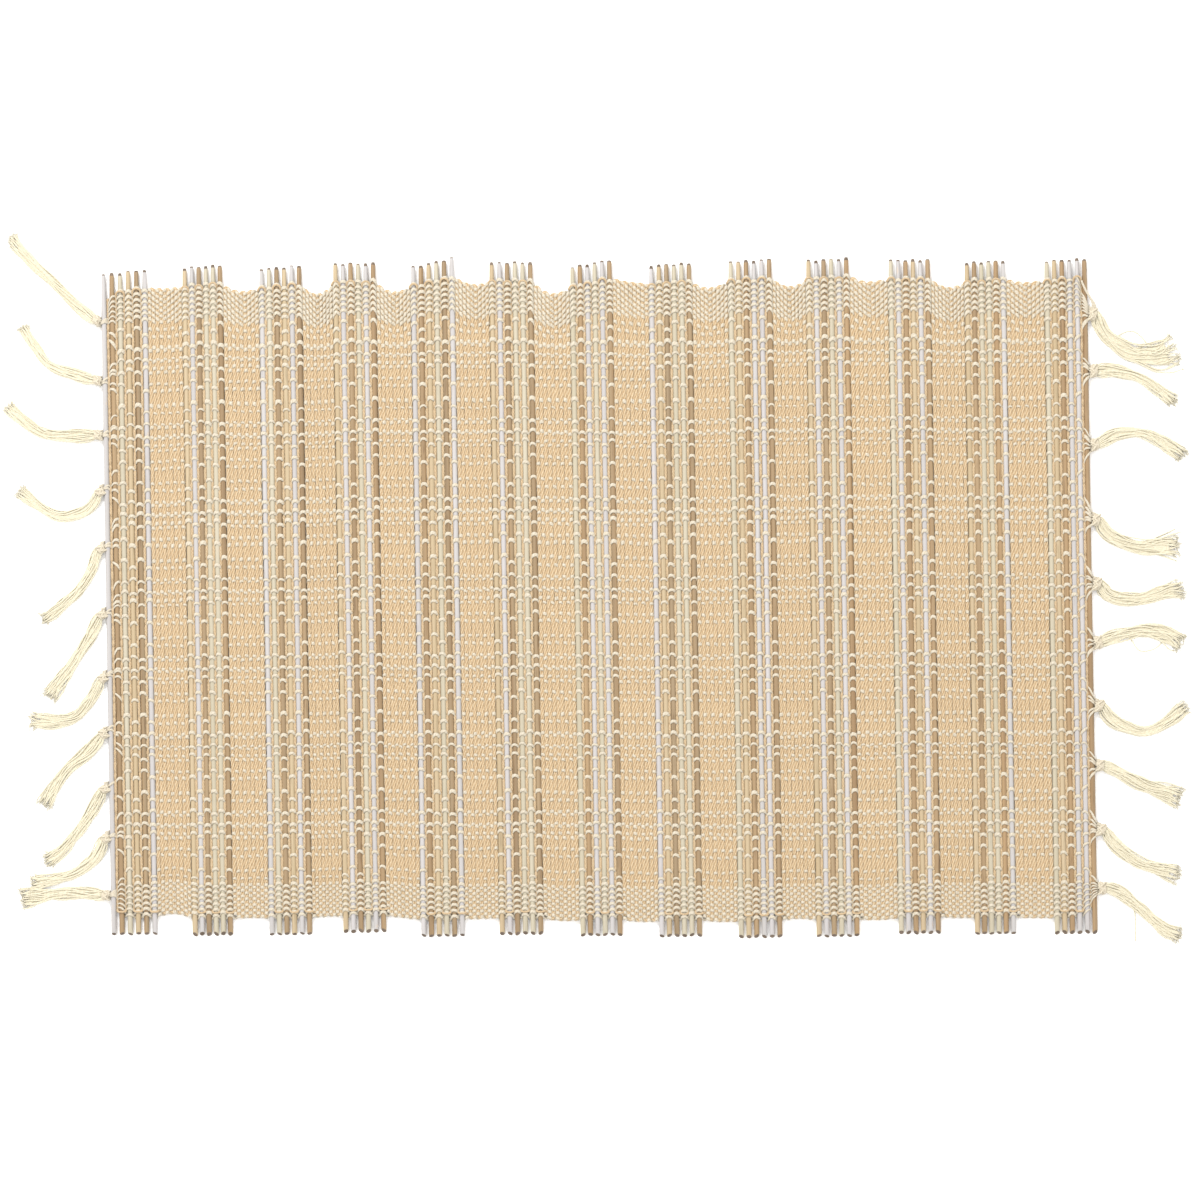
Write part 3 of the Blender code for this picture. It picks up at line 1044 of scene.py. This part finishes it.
def outside_loop(axis, place):
    """The top rows of the right end: they pass outside the last stick on their way down to the knot."""
    bends = np.array(((-1.2, 20.0, 2.1), (1.0, 11.0, 2.2), (8.5, 7.0, 1.2), (4.0, 0.5, 0.4))) * MM
    paths = []
    for strand in range(3):
        points = []
        for step in range(25):
            t = step / 24
            shares = ((1 - t) ** 3, 3 * t * (1 - t) ** 2, 3 * t * t * (1 - t), t ** 3)
            point = sum(share * bend for share, bend in zip(shares, bends))
            point[0] += (strand - 1) * 0.8 * MM
            point[1] -= strand * 2.0 * MM * (1 - t)
            points.append((axis + point[0], place + point[1], MID + point[2]))
        paths.append(points)
    return np.array(paths)


def gather_share(side, inward):
    """How far a warp yarn has been drawn towards its knot, at a distance inward of the outer stick."""
    if side > 0:
        points = (-5.0, -2.4, -1.6, 0.0, 1.7, 2.3, 2.9, 4.7, 7.5)
        shares = (1.0, 0.96, 0.90, 0.74, 0.56, 0.44, 0.20, 0.08, 0.0)
    else:
        points = (-5.0, -2.0, 0.0, 1.8, 2.6, 4.6, 7.0, 10.0)
        shares = (1.0, 0.97, 0.85, 0.62, 0.38, 0.20, 0.07, 0.0)
    return np.interp(inward / MM, points, shares)


def end_line(side):
    """The last three sticks and on to the knot: X, height, whether the parity turns it, outer axis."""
    axes = AXES[0 if side < 0 else -1]
    order = (2, 1, 0) if side < 0 else (3, 4, 5)
    first_element = 0 if side < 0 else ELEMENTS - 1 - STICKS
    pitch = axes[1] - axes[0]
    outer_axis = axes[order[-1]]
    line = []
    steps = (-1.0, -0.85, -0.72, -0.54, -0.36, -0.18, 0.0, 0.18, 0.36, 0.54, 0.72, 0.85)
    for stick in order:
        sign = 1.0 if (first_element + stick) % 2 == 0 else -1.0
        outer = stick == order[-1]
        for u in steps:
            height = 0.0 if u == -1.0 else over_stick(u * pitch / 2, pitch)
            line.append((axes[stick] + side * u * pitch / 2, height if outer else sign * height, not outer))
    for out, height in ((2.35, 0.0), (2.8, 0.25), (3.3, 0.4), (3.9, 0.4), (4.5, 0.4)):
        line.append((outer_axis + side * out * MM, height * MM, False))
    xs, zs, flips = np.array(line).T
    return xs, zs, flips, outer_axis


def end_rows(side, places):
    """The number of the knot that gathers each warp row: the one nearest to it."""
    x = AXES[0][2] if side < 0 else AXES[-1][3]
    ys = row_y(np.array([x]))[:, 0]
    limits = (np.array(places[:-1]) + np.array(places[1:])) / 2
    return np.searchsorted(-limits, -ys)


def gathered_warp(side, mine, place, seed):
    """Paths and widths of some warp rows, drawn together from the last sticks to the knot at place."""
    xs, zs, flips, axis = end_line(side)
    straight = row_y(np.clip(xs, EDGE_X[0], EDGE_X[-1]))[mine]
    z = (zs * np.where(flips == 1, SIGN, 1.0))[mine]
    inward = side * (axis - xs)
    away = np.abs(straight - place)
    field = IN_FIELD[mine]
    on_outer = np.abs(inward) < 2.3 * MM
    if side < 0:
        on_next = np.abs(inward - 4.7 * MM) < 2.3 * MM
        z = np.where(field[:, None] & (away < 5 * MM) & on_next, np.abs(z), z)
        z = np.where(on_outer & (away > 4.5 * MM), -np.abs(z), z)
    else:
        under = np.arange(len(mine)) % np.where(field, 3, 2) == 1
        z = np.where(on_outer & under[:, None], -np.abs(z), z)
    rank = np.linspace(1.1, -1.1, len(mine))[:, None]
    target = place + rank * (2.7 if side > 0 else 1.8) * MM
    arch = np.interp(inward / MM, (-2.0, 2.0), (0.0, ARCH))
    y = straight + (target - straight) * gather_share(side, inward) + arch * z
    z = np.maximum(z + MID, WARP_LOWEST)
    inside = smooth_share(-inward, 2.2 * MM, 5.2 * MM)
    scatter = np.random.default_rng(seed).uniform(-0.7, 0.9, (len(mine), 1)) * MM
    z = np.maximum(z + inside * scatter, WARP_LOWEST)
    slim = np.interp(inward / MM, (-1.0, 4.0, 9.0), (0.66, 0.72, 1.0)) * np.where(field, 1.0, 0.8)[:, None]
    return np.stack([np.broadcast_to(xs, y.shape), y, z], axis=-1), WARP_WIDTHS[mine, None] * slim


def tassel_parts(line, tip_half, seed):
    """The loose yarns of a tassel, their frayed tips and the flat core that they lie on."""
    loose, spread, local = loose_paths(line, tip_half, seed)
    fat = TASSEL_YARN_RADIUS * (1 + 0.05 * local.normal(0, 1, loose.shape[:2]))
    fat[:, -3:] *= (0.9, 0.75, 0.5)
    tips = frayed_tips(loose, local)
    thin = np.broadcast_to(np.linspace(0.16, 0.07, tips.shape[1]) * MM, tips.shape[:2])
    inner = slice(1, int(0.9 * len(line)))
    core = np.column_stack([line, np.full(len(line), CORE_HEIGHT)])[inner]
    half = CORE_WIDTH * spread[inner] * np.linspace(1.0, 0.8, len(core))
    return [
        sweep(loose, fat, 7, UP),
        sweep(tips, thin, 4, UP),
        sweep(core[None], half[None], 14, UP, tall=CORE_THICK / half[None], level=True),
    ]


def make_ends(side, materials):
    """The last half group of warp, drawn together into knots, and the loose tassels."""
    rows = LEFT_TASSELS if side < 0 else RIGHT_TASSELS
    word = "left" if side < 0 else "right"
    axis = AXES[0][0] if side < 0 else AXES[-1][-1]
    places = [
        joint_place(f"tassel_{word}_{number:02d}_lift")[1] + KNOT_SHIFTS.get((word, number), 0.0)
        for number in range(1, len(rows) + 1)
    ]
    owner = end_rows(side, places)
    made = []
    for number, (place, (length, headings, tip_half)) in enumerate(zip(places, rows), 1):
        seed = 100 * number + (1 if side > 0 else 2)
        node = f"tassel_{word}_{number:02d}"
        tassel_body = f"{word}_tassel_{number:02d}"
        paths, widths = gathered_warp(side, np.where(owner == number - 1)[0], place, seed)
        strands = [warp_sweep(paths, widths)]
        if (word, number) == ("right", 1):
            strands.append(sweep(outside_loop(axis, place), OUTSIDE_RADIUS, 8, UP))
        ends = mesh_object(f"warp_end_{word}_{number:02d}", strands, materials["warp"])
        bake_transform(ends)
        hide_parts(node)
        wraps, lumps = knot_paths(side, axis, place, knot_turn(side, headings), seed)
        parts = [sweep(wraps, WRAP_RADIUS, 8, (1, 0, 0)), sweep(lumps, LUMP_RADIUS, 8, UP)]
        knot = mesh_object(f"knot_{word}_{number:02d}", parts, materials["knot"])
        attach(knot, tassel_body)
        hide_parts(node)
        line = tassel_line(side, axis, place, length, headings)
        parts = tassel_parts(line, tip_half, seed)
        if (word, number) in STRAYS:
            stray = stray_path(side, line, *STRAYS[(word, number)])
            parts.append(sweep(stray[None], STRAY_RADIUS, 6, UP))
        tassel = mesh_object(f"fringe_{word}_{number:02d}", parts, materials["fringe"])
        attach(tassel, tassel_body)
        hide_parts(node)
        made += [knot, tassel]
    return made


# ---- stage, light and camera ----

def make_stage(material):
    bpy.ops.mesh.primitive_plane_add(size=8.0, location=(0.0, 0.0, 0.0))
    floor = bpy.context.object
    floor.name = "floor"
    floor.data.materials.append(material)


def make_light():
    """One soft key light from the upper left, aimed at the middle of the mat."""
    data = bpy.data.lights.new("key", "AREA")
    data.shape = "DISK"
    data.size = KEY_SIZE
    data.energy = KEY_ENERGY
    light = placed("key", data)
    light.location = KEY_PLACE
    light.rotation_mode = "QUATERNION"
    light.rotation_quaternion = (-Vector(KEY_PLACE)).to_track_quat("-Z", "Y")


def make_world():
    world = bpy.data.worlds.new("studio")
    world.use_nodes = True
    background = world.node_tree.nodes["Background"]
    background.inputs["Color"].default_value = WORLD_COLOUR
    background.inputs["Strength"].default_value = WORLD_STRENGTH
    bpy.context.scene.world = world


def make_camera():
    """Straight above the mat, with the slight turn that the mat has in the picture."""
    data = bpy.data.cameras.new("camera")
    data.sensor_width = 36.0
    data.lens = data.sensor_width * (CAMERA_PLACE[2] - MID) / VIEW_WIDTH
    data.clip_end = 50.0
    camera = placed("camera", data)
    camera.location = CAMERA_PLACE
    camera.rotation_euler = (0.0, 0.0, math.radians(CAMERA_ROLL))
    bpy.context.scene.camera = camera


def build():
    scene = bpy.context.scene
    scene.view_settings.view_transform = "Standard"
    scene.view_settings.look = "None"
    materials = make_materials()
    make_camera()
    make_world()
    make_light()
    make_stage(materials["floor"])
    make_sticks(materials)
    make_warps(materials)
    bands = make_bands(materials)
    make_threads(materials)
    ends = {0: make_ends(-1, materials), BANDS - 1: make_ends(1, materials)}


build()
